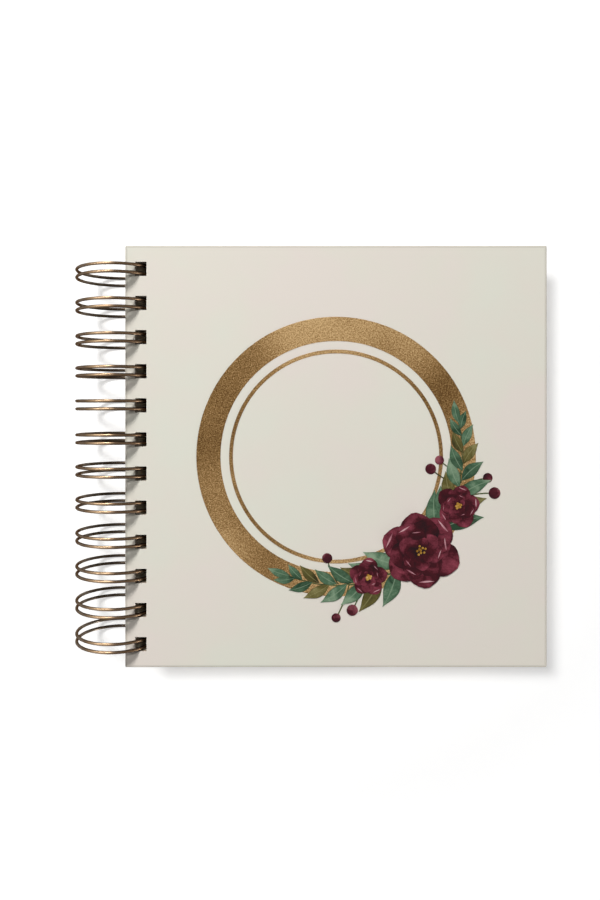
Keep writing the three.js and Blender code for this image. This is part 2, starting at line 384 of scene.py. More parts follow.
bronze, tree, shader, place = start_material("antique_bronze_wire", 0.3, metallic=1.0)
shader.inputs["Specular Tint"].default_value = linear("#85756a")
from_axis = add(tree, "ShaderNodeVectorMath", {0: place, 1: AXIS}, operation="SUBTRACT")
square_on = add(
    tree, "ShaderNodeVectorMath",
    {0: from_axis.outputs[0], 1: (1, 0, 1)}, operation="MULTIPLY",
)
outwards = add(tree, "ShaderNodeVectorMath", {0: square_on.outputs[0]}, operation="NORMALIZE")
normal = tree.nodes["Texture Coordinate"].outputs["Normal"]
facing = add(
    tree, "ShaderNodeVectorMath",
    {0: outwards.outputs[0], 1: normal}, operation="DOT_PRODUCT",
)
patina = add(tree, "ShaderNodeTexNoise", {"Vector": place, "Scale": 1 / PATINA, "Detail": 3.0})
uneven = add(
    tree, "ShaderNodeMath",
    {0: patina.outputs["Fac"], 1: 0.16, 2: -0.08}, operation="MULTIPLY_ADD",
)
around = add(
    tree, "ShaderNodeMath",
    {0: facing.outputs["Value"], 1: 0.5, 2: 0.5}, operation="MULTIPLY_ADD",
)
facing_and_patina = add(tree, "ShaderNodeMath", {0: around.outputs[0], 1: uneven.outputs[0]}, operation="ADD")
# The coat's colour follows how far a spot faces outwards: painted reflection and shade, darkest on the outer
# flanks.
coat = add(
    tree, "ShaderNodeValToRGB", {"Fac": facing_and_patina.outputs[0]},
    stops=[(0.1, "#7a6f63"), (0.45, "#6a5f54"), (0.76, "#3f3124"), (0.92, "#514031"), (1.0, "#5d4b3a")],
)
print("patina of", round(PATINA / MM), "mm")

# %% Painted light patches
OUTER_FADE = 0.4  # from where a patch starts outwards to where it is full
# For each patch: degrees round the loop, how near it reaches, how far outwards it starts, its
# share and its colour
PAINTED_LIGHT_PATCHES = (
    # a painted highlight, tan, high on the spine side
    (106, 0.92, 0.55, 0.8, "#a58b6e"),
    # a painted reflection, grey, at the spine end of the loop
    (180, 0.55, 0.1, 0.9, "#8d857b"),
    # painted shade, darkest brown, low under the covers
    (268, 0.3, -0.4, 0.9, "#332920"),
)

layer = coat.outputs["Color"]
for degrees, start, outer_from, share, colour in PAINTED_LIGHT_PATCHES:
    patch_middle = (math.cos(math.radians(degrees)), 0, math.sin(math.radians(degrees)))
    aligned = add(
        tree, "ShaderNodeVectorMath",
        {0: outwards.outputs[0], 1: patch_middle}, operation="DOT_PRODUCT",
    )
    near = add(
        tree, "ShaderNodeMapRange",
        {"Value": aligned.outputs["Value"], "From Min": start, "To Max": share},
    )
    outer = add(
        tree, "ShaderNodeMapRange",
        {"Value": facing_and_patina.outputs[0], "From Min": outer_from, "From Max": outer_from + OUTER_FADE},
    )
    painted_light = add(
        tree, "ShaderNodeMath",
        {0: near.outputs["Result"], 1: outer.outputs["Result"]}, operation="MULTIPLY",
    )
    mixed = add(
        tree, "ShaderNodeMix",
        {"Factor": painted_light.outputs[0], 6: layer, 7: linear(colour)}, data_type="RGBA",
    )
    layer = mixed.outputs[2]
print(len(PAINTED_LIGHT_PATCHES), "worn patches")

# %% Drawn surface
DRAWN = 0.4 * MM

wear = add(tree, "ShaderNodeTexNoise", {"Vector": place, "Scale": 1 / DRAWN, "Detail": 2.0})
gloss = add(tree, "ShaderNodeMapRange", {"Value": wear.outputs["Fac"], "To Min": 0.22, "To Max": 0.4})
tree.links.new(layer, shader.inputs["Base Color"])
tree.links.new(gloss.outputs["Result"], shader.inputs["Roughness"])
print("made", bronze.name)

# %% [markdown]
# ## Stamped gold foil
#
# Hot stamping presses a metal film into the laminate. The film takes up the tooth of the paper,
# which the bump gives as fine grains. The glitter of lighter and darker grains in the foil's colour,
# under slow bands of lighter and deeper gold, is painted reflection.

# %% Gold foil
GRAIN = 0.45 * MM
BAND = 38 * MM
GRAIN_SHARE = 0.62  # grain against band

foil, tree, shader, place = start_material("stamped_gold_foil", 0.36, metallic=1.0)
grains = add(
    tree, "ShaderNodeTexNoise",
    {"Vector": place, "Scale": 1 / GRAIN, "Detail": 2.0, "Roughness": 0.7},
)
bands = add(tree, "ShaderNodeTexNoise", {"Vector": place, "Scale": 1 / BAND, "Detail": 1.0})
both = add(
    tree, "ShaderNodeMix",
    {"Factor": GRAIN_SHARE, "A": bands.outputs["Fac"], "B": grains.outputs["Fac"]}, data_type="FLOAT",
)
# Lighter and darker grains and bands in the foil's colour are painted reflection.
gold = add(
    tree, "ShaderNodeValToRGB", {"Fac": both.outputs[0]},
    stops=[(0.37, "#573e21"), (0.5, "#8f6f46"), (0.63, "#c7a778")],
)
pebble = add(
    tree, "ShaderNodeBump",
    {"Height": grains.outputs["Fac"], "Strength": 0.35, "Distance": 0.05 * MM},
)
tree.links.new(gold.outputs["Color"], shader.inputs["Base Color"])
tree.links.new(pebble.outputs["Normal"], shader.inputs["Normal"])
print("made", foil.name)

# %% [markdown]
# ## The punched holes
#
# Every layer is punched with the same die, and the layers are then slid round the loops.
# The die is made once as a row of blocks. It is copied for each layer, moved to the layer's own
# holes, and cut out.

# %% Hole row
HOLE_COUNT = 12
HOLE_PITCH = 12.7 * MM
HOLE_SIZE = (4.15 * MM, 5.3 * MM)
HOLE_MARGIN = 3.8 * MM  # from a layer's spine edge to its holes


def hole_centres():
    return [(i - (HOLE_COUNT - 1) / 2) * HOLE_PITCH for i in range(HOLE_COUNT)]


def punch(piece, spine, low, high):
    """Cuts the row of holes through a layer between two heights, set in from its spine edge."""
    left = spine + HOLE_MARGIN
    dies = [
        block("die", (left, y - HOLE_SIZE[1] / 2, low), (left + HOLE_SIZE[0], y + HOLE_SIZE[1] / 2, high))
        for y in hole_centres()
    ]
    return cut(piece, join("dies", dies))


print(HOLE_COUNT, "holes every", round(HOLE_PITCH / MM, 2), "mm")


# %% [markdown]
# ## The wrapped covers
#
# The cover paper is folded round the board and glued down inside, so its outer edges and corners
# are round and the inner face shows a turned-in border. The piece starts as a block with its edges
# rounded. The space for the board, the window inside the turned-in border and the row of holes
# are then cut out of it.

# %% Cover wraps
FOLD_RADIUS = 0.4 * MM
FOLD_STEPS = 4
FOLD_SMOOTHING = math.radians(35)
TURN_IN = 15 * MM
CUT_PAST = 1 * MM  # how far a cutter reaches out of what it cuts


def make_wrap(side, inwards):
    """side is front or back, and inwards is 1 or -1, from the outer face to the leaves along Z."""
    node = f"{side}_cover_wrap"
    low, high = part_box(node)
    board_low, board_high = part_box(f"{side}_cover_board")
    wrap = block(f"{side}_wrap", low, high)
    rounding = wrap.modifiers.new("fold", "BEVEL")
    rounding.width = FOLD_RADIUS
    rounding.segments = FOLD_STEPS
    apply_modifiers(wrap)
    cut(wrap, block("pocket", board_low, board_high))
    inner_face = high.z if inwards > 0 else low.z
    inner = sorted([(board_low.z + board_high.z) / 2, inner_face + inwards * CUT_PAST])
    window_low = Vector((low.x + TURN_IN, low.y + TURN_IN, inner[0]))
    window_high = Vector((high.x - TURN_IN, high.y - TURN_IN, inner[1]))
    cut(wrap, block("window", window_low, window_high))
    punch(wrap, low.x, low.z - CUT_PAST, high.z + CUT_PAST)
    only(wrap)
    bpy.ops.object.shade_smooth_by_angle(angle=FOLD_SMOOTHING)
    wrap.modifiers.new("flat_faces_stay_flat", "WEIGHTED_NORMAL").keep_sharp = True
    apply_modifiers(wrap)
    dress(wrap, wrap_paper)
    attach(wrap, f"{side}_cover")
    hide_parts(node)
    print(wrap.name, len(wrap.data.polygons), "faces")


make_wrap("front", -1)
make_wrap("back", 1)

# %% [markdown]
# The board and the liner are flat sheets that only show in the holes and inside the covers. Finer
# pieces would look the same, so their solids stay and only get their materials.

# %% Boards and liners
for side in ("front", "back"):
    dress(nodes[f"{side}_cover_board"], greyboard)
    dress(nodes[f"{side}_cover_liner"], liner_paper)
print("boards and liners dressed")

# %% [markdown]
# ## The twin-loop wire
#
# One wire is bent into a comb of twin loops and closed round the punched leaves. Its route is easy
# to state on the cylinder that it lies on: a leg once round, a half turn at the closed tip, a leg
# back, and a straight foot to the next loop. Sweeping a circle along that route gives the wire.
# The loops are closed by a machine but get knocked in use, so each leans a fraction of a millimetre:
# not at all at its foot, then one way at its top and another from its far side on.

# %% Wire sizes
LOOP_RADIUS = 15.28 * MM
WIRE_RADIUS = 0.6 * MM
PAIR_SPACING = 3 * MM

print("loops are", round(2 * (LOOP_RADIUS + WIRE_RADIUS) / MM, 2), "mm across outside")

# %% Leans
# Towards the head, in units of LEAN, from the tail loop to the head loop. The first row holds at the
# top of a loop, and the mean of both rows from its far side on.
LEAN = 0.1 * MM
TOP_LEAN = (-3.5, -2.5, 2.5, 1.5, 3.5, 5.0, 2.5, 2.0, 1.0, -2.5, -1.0, 0.0)
FAR_LEAN = (-2.0, -3.0, 1.0, 3.5, 3.0, -1.5, -8.0, 0.0, 0.0, -6.0, -4.0, -5.0)
LEAN_START, LEAN_TOP, LEAN_END = -30, 90, 270  # degrees round the loop
FAR_SHARE = 0.5  # of the way from LEAN_TOP to LEAN_END, where the second lean stops growing


def lean(distance, i):
    """How far a loop leans at a distance along its leg, blended smoothly from its foot to its far side."""
    angle = math.degrees(distance / LOOP_RADIUS)
    rise = min(max((angle - LEAN_START) / (LEAN_TOP - LEAN_START), 0), 1)
    turn = min(max((angle - LEAN_TOP) / (LEAN_END - LEAN_TOP), 0), FAR_SHARE)
    rise, turn = (share * share * (3 - 2 * share) for share in (rise, turn))
    return LEAN * (TOP_LEAN[i] * rise * (1 - turn) + FAR_LEAN[i] * turn)


# %% Wire route
SEAM_ANGLE = math.radians(-64)  # the seam lies under the back cover
SEAM_GAP = 1 * MM
FOOT_BEND = 1.2 * MM
LEG_STEPS = 72
TIP_STEPS = 14
BEND_STEPS = 6


def wire_route():
    """Points as distance round the cylinder and place along it."""
    foot = SEAM_ANGLE * LOOP_RADIUS
    half = PAIR_SPACING / 2
    leg_end = foot + 2 * math.pi * LOOP_RADIUS - 2 * WIRE_RADIUS - SEAM_GAP - half
    bend = [math.pi / 2 * i / BEND_STEPS for i in range(BEND_STEPS + 1)]
    whole = []
    for i, y in enumerate(hole_centres()):
        route = []
        first, last = i == 0, i == HOLE_COUNT - 1
        leg_start = foot if first else foot + FOOT_BEND
        if not first:
            route += [
                (foot + FOOT_BEND * (1 - math.cos(a)), y - half - FOOT_BEND * (1 - math.sin(a)))
                for a in bend[:-1]
            ]
        route += [(leg_start + (leg_end - leg_start) * s / LEG_STEPS, y - half) for s in range(LEG_STEPS)]
        turns = [math.pi * s / TIP_STEPS for s in range(TIP_STEPS)]
        route += [(leg_end + half * math.sin(a), y - half * math.cos(a)) for a in turns]
        leg_back = foot if last else foot + FOOT_BEND
        route += [(leg_end + (leg_back - leg_end) * s / LEG_STEPS, y + half) for s in range(LEG_STEPS + 1)]
        if not last:
            route += [
                (foot + FOOT_BEND * (1 - math.cos(a)), y + half + FOOT_BEND * (1 - math.sin(a)))
                for a in reversed(bend[:-1])
            ]
        whole += [(distance, along + lean(distance, i)) for distance, along in route]
    return whole


def round_the_axis(distance, y):
    angle = distance / LOOP_RADIUS
    return AXIS.x + LOOP_RADIUS * math.cos(angle), y, AXIS.z + LOOP_RADIUS * math.sin(angle)


# %% Wire
WIRE_ROUNDNESS = 3
WIRE_SMOOTHING = math.radians(60)


def make_wire():
    points = [round_the_axis(*step) for step in wire_route()]
    bpy.ops.curve.primitive_bezier_curve_add(location=(0, 0, 0))
    wire = bpy.context.object
    wire.name = "bronze_wire"
    wire.data.splines.clear()
    spline = wire.data.splines.new("POLY")
    spline.points.add(len(points) - 1)
    for point, place in zip(spline.points, points):
        point.co = (*place, 1)
    wire.data.dimensions = "3D"
    wire.data.bevel_depth = WIRE_RADIUS
    wire.data.bevel_resolution = WIRE_ROUNDNESS
    wire.data.use_fill_caps = True
    only(wire)
    bpy.ops.object.convert(target="MESH")
    wire = bpy.context.object
    bpy.ops.object.shade_smooth_by_angle(angle=WIRE_SMOOTHING)
    return wire


loops = [node for node in sorted(nodes) if node.startswith("wire_loop")]
wire = make_wire()
dress(wire, bronze)
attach(wire, "back_cover")
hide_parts(*loops)
print(wire.name, len(wire.data.polygons), "faces")

# %% [markdown]
# ## The leaves
#
# A section of the book is a small stack of sheets. One sheet is made and punched, and copies of it
# are stacked with a hair of air between them. Each copy sits a touch further out or in than its
# neighbour, as its holes ride on the round of the loops, and no stack is ever knocked up perfectly.

# %% One sheet
SHEETS_PER_SECTION = 11
SHEET_SHARE = 0.82  # of the room that each sheet has
KNOCK = 0.12 * MM  # how far at most a sheet lies out of line

page_low, page_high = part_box("pages_01")
sheet_room = (page_high.z - page_low.z) / SHEETS_PER_SECTION
sheet_end = (page_high.x - page_low.x, page_high.y - KNOCK, sheet_room * SHEET_SHARE)
sheet = block("sheet", (0, page_low.y + KNOCK, 0), sheet_end)
punch(sheet, 0, -CUT_PAST, CUT_PAST)
print("one sheet has", len(sheet.data.polygons), "faces")


# %% Sections
def stand_off(height):
    """How far the wire's centre line stands from the loops' axis at a height, along X."""
    return math.sqrt(max(LOOP_RADIUS ** 2 - (height - AXIS.z) ** 2, 0))


def make_section(node, chance):
    low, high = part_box(node)
    middle = stand_off((low.z + high.z) / 2)
    sheets = []
    for i in range(SHEETS_PER_SECTION):
        height = low.z + i * sheet_room + sheet_room * (1 - SHEET_SHARE) / 2
        slide = stand_off(height) - middle + chance.uniform(-KNOCK, 0)
        knock = chance.uniform(-KNOCK, KNOCK)
        sheets.append(copy_of(sheet, "leaf", (low.x + slide, knock, height)))
    section = join(f"{node}_sheets", sheets)
    dress(section, leaf_paper)
    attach(section, node)
    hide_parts(node)


chance = random.Random(7)
section_nodes = [node for node in sorted(nodes) if "pages" in node]
for node in section_nodes:
    make_section(node, chance)
bpy.data.objects.remove(sheet)
print(len(section_nodes), "sections of", SHEETS_PER_SECTION, "sheets")

# %% [markdown]
# ## The index dividers
#
# A divider is a heavier card with one tab past the edge of the pages, and the tabs step down the
# fore-edge. One punched card is made. Each divider is a copy of it with its tab joined on, and the
# tab's two outer corners are rounded, as the die cuts them so that they don't catch.

# %% One card
DIVIDER_COUNT = 12
TAB_REACH = 8 * MM
TAB_GAP = 0.6 * MM
TAB_CORNER = 2.5 * MM
TAB_CORNER_STEPS = 8
TAB_OVERLAP = 2 * MM  # how far a tab's block reaches into the card before the two are joined

first_low, first_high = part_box("divider_01")
card_size = Vector((first_high.x - first_low.x - TAB_REACH, first_high.y, first_high.z - first_low.z))
card = block("card", (0, -card_size.y, 0), card_size)
punch(card, 0, -CUT_PAST, CUT_PAST)
tab_pitch = 2 * card_size.y / DIVIDER_COUNT
print("card", [round(value / MM, 2) for value in card_size], "mm")
print("tabs every", round(tab_pitch / MM, 2), "mm")


# %% Cards with tabs
def make_tab(fore, top, low, high):
    start = (fore - TAB_OVERLAP, top - tab_pitch + TAB_GAP, low)
    tab = block("tab", start, (fore + TAB_REACH, top, high))
    corners = tab.modifiers.new("corners", "BEVEL")
    corners.width = TAB_CORNER
    corners.segments = TAB_CORNER_STEPS
    corners.limit_method = "WEIGHT"
    weights = tab.data.attributes.new("bevel_weight_edge", "FLOAT", "EDGE")
    for edge in tab.data.edges:
        a, b = (tab.data.vertices[v].co for v in edge.vertices)
        upright = abs(a.z - b.z) > (high - low) / 2
        weights.data[edge.index].value = 1.0 if upright and a.x > fore else 0.0
    return apply_modifiers(tab)


def make_divider(number):
    node = f"divider_{number:02d}"
    low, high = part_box(node)
    divider = copy_of(card, f"{node}_card", (low.x, 0, low.z))
    top = card_size.y - (number - 1) * tab_pitch - TAB_GAP / 2
    tab = make_tab(low.x + card_size.x, top, low.z, high.z)
    union = divider.modifiers.new("tab", "BOOLEAN")
    union.operation = "UNION"
    union.solver = "EXACT"
    union.object = tab
    apply_modifiers(divider)
    bpy.data.objects.remove(tab)
    dress(divider, index_card)
    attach(divider, node)
    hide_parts(node)


for number in range(1, DIVIDER_COUNT + 1):
    make_divider(number)
bpy.data.objects.remove(card)
print(DIVIDER_COUNT, "dividers")

# %% [markdown]
# Both faces of each tab carry its number in dark ink. A text object gives the figures. It is made a
# mesh and turned over for the back of the tab, so that the number reads from either side.

# %% Tab ink
INK_GRAIN = 0.3 * MM

tab_ink, tree, shader, place = start_material("printed_tab_ink", 0.6)
speckle = add(tree, "ShaderNodeTexNoise", {"Vector": place, "Scale": 1 / INK_GRAIN, "Detail": 2.0})
brown = add(
    tree, "ShaderNodeValToRGB", {"Fac": speckle.outputs["Fac"]},
    stops=[(0.3, "#4a1a27"), (0.7, "#6a3340")],
)
tree.links.new(brown.outputs["Color"], shader.inputs["Base Color"])
print("made", tab_ink.name)

# %% Tab numbers
FIGURE_SIZE = 5 * MM
INK_DEPTH = 0.01 * MM


def make_figures(number, centre, turned):
    bpy.ops.object.text_add(location=(0, 0, 0))
    figures = bpy.context.object
    figures.data.body = str(number)
    figures.data.size = FIGURE_SIZE
    figures.data.align_x = "CENTER"
    figures.data.align_y = "CENTER"
    figures.data.extrude = INK_DEPTH
    only(figures)
    bpy.ops.object.convert(target="MESH")
    figures = bpy.context.object
    figures.rotation_euler = (0, math.pi if turned else 0, 0)
    figures.location = centre
    return settle(figures)


for number in range(1, DIVIDER_COUNT + 1):
    node = f"divider_{number:02d}"
    low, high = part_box(node)
    x = high.x - TAB_REACH / 2
    y = card_size.y - (number - 0.5) * tab_pitch
    sides = [make_figures(number, (x, y, high.z), False), make_figures(number, (x, y, low.z), True)]
    figures = join(f"{node}_number", sides)
    dress(figures, tab_ink)
    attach(figures, node)
print(DIVIDER_COUNT, "numbers")

# %% [markdown]
# ## The foil hoop
#
# The cover carries a broad hoop of foil and a thin ring inside it. Each starts as its inner circle,
# which is extruded outwards to its band and then up to the thickness of the film.

# %% Foil hoop and ring
FOIL_STEPS = 192
FOIL_BANDS = {"foil_hoop": 9 * MM, "foil_inner_ring": 1.4 * MM}


def make_foil_ring(node):
    low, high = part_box(node)
    outer = (high.x - low.x) / 2
    centre = ((low.x + high.x) / 2, (low.y + high.y) / 2, low.z)
    band = FOIL_BANDS[node]
    bpy.ops.mesh.primitive_circle_add(vertices=FOIL_STEPS, radius=outer - band, location=centre)
    ring = bpy.context.object
    ring.name = f"{node}_stamp"
    bpy.ops.object.mode_set(mode="EDIT")
    bpy.ops.mesh.select_all(action="SELECT")
    bpy.ops.mesh.extrude_region_move()
    growth = outer / (outer - band)
    bpy.ops.transform.resize(value=(growth, growth, 1), center_override=centre)
    bpy.ops.mesh.select_all(action="SELECT")
    bpy.ops.mesh.extrude_region_move(TRANSFORM_OT_translate={"value": (0, 0, high.z - low.z)})
    bpy.ops.mesh.select_all(action="SELECT")
    bpy.ops.mesh.normals_make_consistent(inside=False)
    bpy.ops.object.mode_set(mode="OBJECT")
    settle(ring)
    dress(ring, foil)
    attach(ring, "front_cover")
    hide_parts(node)
    print(ring.name, len(ring.data.polygons), "faces")


make_foil_ring("foil_hoop")
make_foil_ring("foil_inner_ring")

# %% [markdown]
# ## The printed spray
#
# Over the foil lies a spray of blossoms, leaves and berries in the manner of watercolour. Each shape
# is a thin layer of its own, so a petal can lie over another with a clean edge. Three blades are
# modelled, a leaf, a petal and a stretch of stem: a square is subdivided, its columns are narrowed
# to the outline, and where that comes to a point, the doubled corners are merged. The square's UV
# map goes along with it, so a material knows how far a spot is along the blade and how far from
# its midrib.

# %% Blades from a square
MERGE = 0.0005  # of the square's side


def make_blade(name, outline, sag):
    """A flat blade of unit length along X. It is drawn to an outline of widths and bowed sideways by sag."""
    columns = len(outline) - 1
    bpy.ops.mesh.primitive_plane_add(size=1, location=(0.5, 0, 0))
    blade = settle(bpy.context.object)
    blade.name = name
    bpy.ops.object.mode_set(mode="EDIT")
    bpy.ops.mesh.select_all(action="SELECT")
    bpy.ops.mesh.subdivide(number_cuts=columns - 1)
    bpy.ops.object.mode_set(mode="OBJECT")
    for i, width in enumerate(outline):
        x = i / columns
        bpy.ops.object.mode_set(mode="EDIT")
        bpy.ops.mesh.select_all(action="DESELECT")
        bpy.ops.object.mode_set(mode="OBJECT")
        for vertex in blade.data.vertices:
            vertex.select = abs(vertex.co.x - x) < 0.2 / columns
        bpy.ops.object.mode_set(mode="EDIT")
        bpy.ops.transform.resize(value=(1, width, 1), center_override=(x, 0, 0))
        bpy.ops.transform.translate(value=(0, sag * 4 * x * (1 - x), 0))
        bpy.ops.object.mode_set(mode="OBJECT")
    bpy.ops.object.mode_set(mode="EDIT")
    bpy.ops.mesh.select_all(action="SELECT")
    bpy.ops.mesh.remove_doubles(threshold=MERGE)
    bpy.ops.object.mode_set(mode="OBJECT")
    print(name, len(blade.data.polygons), "faces")
    return blade


# %% Leaf, petal and stem
# Widths at even steps along the blade, as shares of the square's side
LEAF_OUTLINE = (0.0, 0.1, 0.2, 0.28, 0.33, 0.36, 0.36, 0.34, 0.29, 0.22, 0.14, 0.06, 0.0)
PETAL_OUTLINE = (0.1, 0.22, 0.36, 0.5, 0.62, 0.72, 0.8, 0.84, 0.85, 0.8, 0.68, 0.46, 0.14)
STEM_OUTLINE = (0.05,) * 8 + (0.03,)
LEAF_SAG, STEM_SAG = 0.05, 0.06  # of the square's side

leaf_blade = make_blade("leaf_blade", LEAF_OUTLINE, LEAF_SAG)
petal_blade = make_blade("petal_blade", PETAL_OUTLINE, 0.0)
stem_blade = make_blade("stem_blade", STEM_OUTLINE, STEM_SAG)

# %% Berry disc
BERRY_SIDES = 28

bpy.ops.mesh.primitive_circle_add(
    vertices=BERRY_SIDES, radius=0.5, fill_type="NGON", location=(0, 0, 0)
)
berry_disc = bpy.context.object
berry_disc.name = "berry_disc"
print(berry_disc.name, len(berry_disc.data.vertices), "corners")

# %% [markdown]
# Shapes are laid one over another, each a thousandth of a millimetre above the last, so the order
# of laying is the order that the eye sees. `lay` copies a shape, sizes and turns it in its mesh, and
# gives it a random wash value, which the paint uses to make one leaf paler than the next.

# %% Laying shapes
PAPER_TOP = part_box("front_cover_wrap")[1].z
hoop_low, hoop_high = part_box("foil_hoop")
HOOP_X, HOOP_Y = (hoop_low.x + hoop_high.x) / 2, (hoop_low.y + hoop_high.y) / 2
STEM_RADIUS = 47.5 * MM  # the middle of the foil band
LEVEL = 0.001 * MM

paint_chance = random.Random(12)
laid = {"stem": [], "berry": [], "sage": [], "olive": [], "petal": [], "glint": [], "pollen": []}


def lay(shape, paint, x, y, length, width, degrees):
    turn = math.radians(degrees)
    height = hoop_high.z + LEVEL * (1 + sum(len(shapes) for shapes in laid.values()))
    piece = copy_of(shape, f"{paint}_shape")
    for vertex in piece.data.vertices:
        along, across = vertex.co.x * length, vertex.co.y * width
        vertex.co = (
            x + along * math.cos(turn) - across * math.sin(turn),
            y + along * math.sin(turn) + across * math.cos(turn),
            height,
        )
    wash = piece.data.attributes.new("wash", "FLOAT", "POINT")
    tone = paint_chance.random()
    wash.data.foreach_set("value", [tone] * len(piece.data.vertices))
    laid[paint].append(piece)


def on_ring(degrees, radius=STEM_RADIUS):
    turn = math.radians(degrees)
    return HOOP_X + radius * math.cos(turn), HOOP_Y + radius * math.sin(turn)


print("hoop's centre at", round(HOOP_X / MM, 2), round(HOOP_Y / MM, 2), "mm")


# %% [markdown]
# The spray lies along the lower right of the foil hoop. Its stem follows the band both ways from
# the largest blossom. Berries stand out from it on stalks, and leaves leave it in pairs that grow
# smaller towards both ends.

# %% Stem and berries
SPRAY_MIDDLE = -48  # degrees round the hoop
STEM_STEP = 9  # degrees from one stretch of the stem to the next
STEM_STEPS = 7
STEM_LENGTH, STEM_WIDTH = 8.6 * MM, 16 * MM  # the width is of the blade's square, not of its outline
STEM_TAPER = 0.09  # share of its width that the stem loses at each step
STEM_HEADING = 94  # degrees from the way out of the hoop's centre
STALK_WIDTH = 9 * MM
STALK_SLANT = 6  # degrees that a stalk starts nearer the spray's middle than its berry
BERRIES = (  # degrees round the hoop, millimetres from its centre, and width
    (-8, 57, 3.6), (-13, 60.5, 4.4), (-2, 38.5, 3.4), (-7.5, 35.5, 4.0),
    (-84, 57.5, 4.2), (-90, 60, 3.4), (-95, 38, 3.8),
)

for side in (1, -1):
    for i in range(STEM_STEPS):
        here = SPRAY_MIDDLE + side * i * STEM_STEP
        x, y = on_ring(here)
        width = STEM_WIDTH * (1 - STEM_TAPER * i)
        lay(stem_blade, "stem", x, y, STEM_LENGTH, width, here + side * STEM_HEADING)

for degrees, radius, size in BERRIES:
    x, y = on_ring(degrees, radius * MM)
    root_x, root_y = on_ring(degrees + (STALK_SLANT if degrees < SPRAY_MIDDLE else -STALK_SLANT))
    reach = math.hypot(x - root_x, y - root_y)
    heading = math.degrees(math.atan2(y - root_y, x - root_x))
    lay(stem_blade, "stem", root_x, root_y, reach, STALK_WIDTH, heading)
    lay(berry_disc, "berry", x, y, size * MM, size * MM, paint_chance.uniform(0, 360))
print(len(BERRIES), "berries")

# %% Leaves
LEAF_PAIRS = 7
LEAF_START = 12  # degrees from the spray's middle to its first pairs
LEAF_STEP = 7.8  # degrees from pair to pair
LEAF_STAGGER = 1.6  # degrees that the two leaves of a pair stand before and behind its place
LEAF_SIZE, LEAF_SHRINK = 17.5, 1.35  # millimetres, and what each pair loses
LEAF_SIZES = (0.88, 1.08)  # random share of that length
LEAF_BREADTH = 1.05
LEAF_SPREAD, SPREAD_LOSS = 46, 3  # degrees off the stem, and what each pair loses
SPREAD_CHANCE = 6  # degrees
TIP_LENGTH, TIP_WIDTH, TIP_HEADING = 9 * MM, 8.5 * MM, 88

for side in (1, -1):
    for i in range(1, LEAF_PAIRS + 1):
        here = SPRAY_MIDDLE + side * (LEAF_START + (i - 1) * LEAF_STEP)
        size = (LEAF_SIZE - LEAF_SHRINK * i) * MM
        for outer in (1, -1):
            x, y = on_ring(here + side * outer * LEAF_STAGGER)
            spread = LEAF_SPREAD - SPREAD_LOSS * i + paint_chance.uniform(-SPREAD_CHANCE, SPREAD_CHANCE)
            paint = "olive" if (i + (outer > 0)) % 3 == 0 else "sage"
            heading = here + side * (90 - outer * spread)
            length = size * paint_chance.uniform(*LEAF_SIZES)
            lay(leaf_blade, paint, x, y, length, size * LEAF_BREADTH, heading)
    tip = SPRAY_MIDDLE + side * STEM_STEP * STEM_STEPS
    lay(leaf_blade, "sage", *on_ring(tip), TIP_LENGTH, TIP_WIDTH, tip + side * TIP_HEADING)
print(len(laid["sage"]) + len(laid["olive"]), "leaves")

# %% [markdown]
# A blossom is laid in rings of petals, the widest first. Each ring is turned by half a petal
# against the one below and is a little smaller. A thin glint, where the wash leaves the paper
# nearly bare, follows the rim of a petal here and there.

# %% Blossoms
RING_SHARES = (1.0, 0.78, 0.56, 0.36)  # of the blossom's reach, from the widest ring inwards
PETAL_TURN = 7  # degrees that a petal may lie off its place
PETAL_SIZES = (0.92, 1.06)  # random share of its length
PETAL_BREADTH = 0.98
GLINT_RINGS = 3  # the innermost ring has none
GLINT_BEHIND, GLINT_OUT = 14, 0.84  # degrees behind the petal's middle, and share of its length
GLINT_LENGTH, GLINT_WIDTH, GLINT_HEADING = 0.42, 0.13, 84
GRAINS = 9
GRAIN_TURN = 137.5  # degrees from grain to grain, as seeds stand in a flower head
GRAIN_SPACING = 0.045  # of the blossom's reach
GRAIN_SIZE = 0.9 * MM


def lay_blossom(degrees, radius, reach, petals):
    centre_x, centre_y = on_ring(degrees, radius)
    start = paint_chance.uniform(0, 360)
    for ring, share in enumerate(RING_SHARES):
        for i in range(petals):
            turn = start + (i + ring / 2) * 360 / petals + paint_chance.uniform(-PETAL_TURN, PETAL_TURN)
            length = reach * share * paint_chance.uniform(*PETAL_SIZES)
            lay(petal_blade, "petal", centre_x, centre_y, length, length * PETAL_BREADTH, turn)
            if (ring + i) % 2 == 0 and ring < GLINT_RINGS:
                behind, out = math.radians(turn - GLINT_BEHIND), length * GLINT_OUT
                x, y = centre_x + out * math.cos(behind), centre_y + out * math.sin(behind)
                glint_size = (length * GLINT_LENGTH, length * GLINT_WIDTH)
                lay(leaf_blade, "glint", x, y, *glint_size, turn + GLINT_HEADING)
    for i in range(GRAINS):
        turn, out = math.radians(i * GRAIN_TURN), reach * GRAIN_SPACING * math.sqrt(i)
        x, y = centre_x + out * math.cos(turn), centre_y + out * math.sin(turn)
        lay(berry_disc, "pollen", x, y, GRAIN_SIZE, GRAIN_SIZE, 0)


lay_blossom(SPRAY_MIDDLE + 26, 49 * MM, 8.2 * MM, 5)
lay_blossom(SPRAY_MIDDLE - 27, 46.5 * MM, 7.2 * MM, 5)
lay_blossom(SPRAY_MIDDLE, 47 * MM, 14.5 * MM, 6)
print(len(laid["petal"]), "petals")

# %% [markdown]
# Watercolour dries darker at the rim of each stroke, blooms where water ran back into it, and
# settles as grains in the tooth of the paper. One function builds that paint from three hex
# colours. The rim and the midrib come from the blade's UV map, and the blooms from noise.

# %% Watercolour paint
BLOOM = 5 * MM
GRANULE = 0.55 * MM


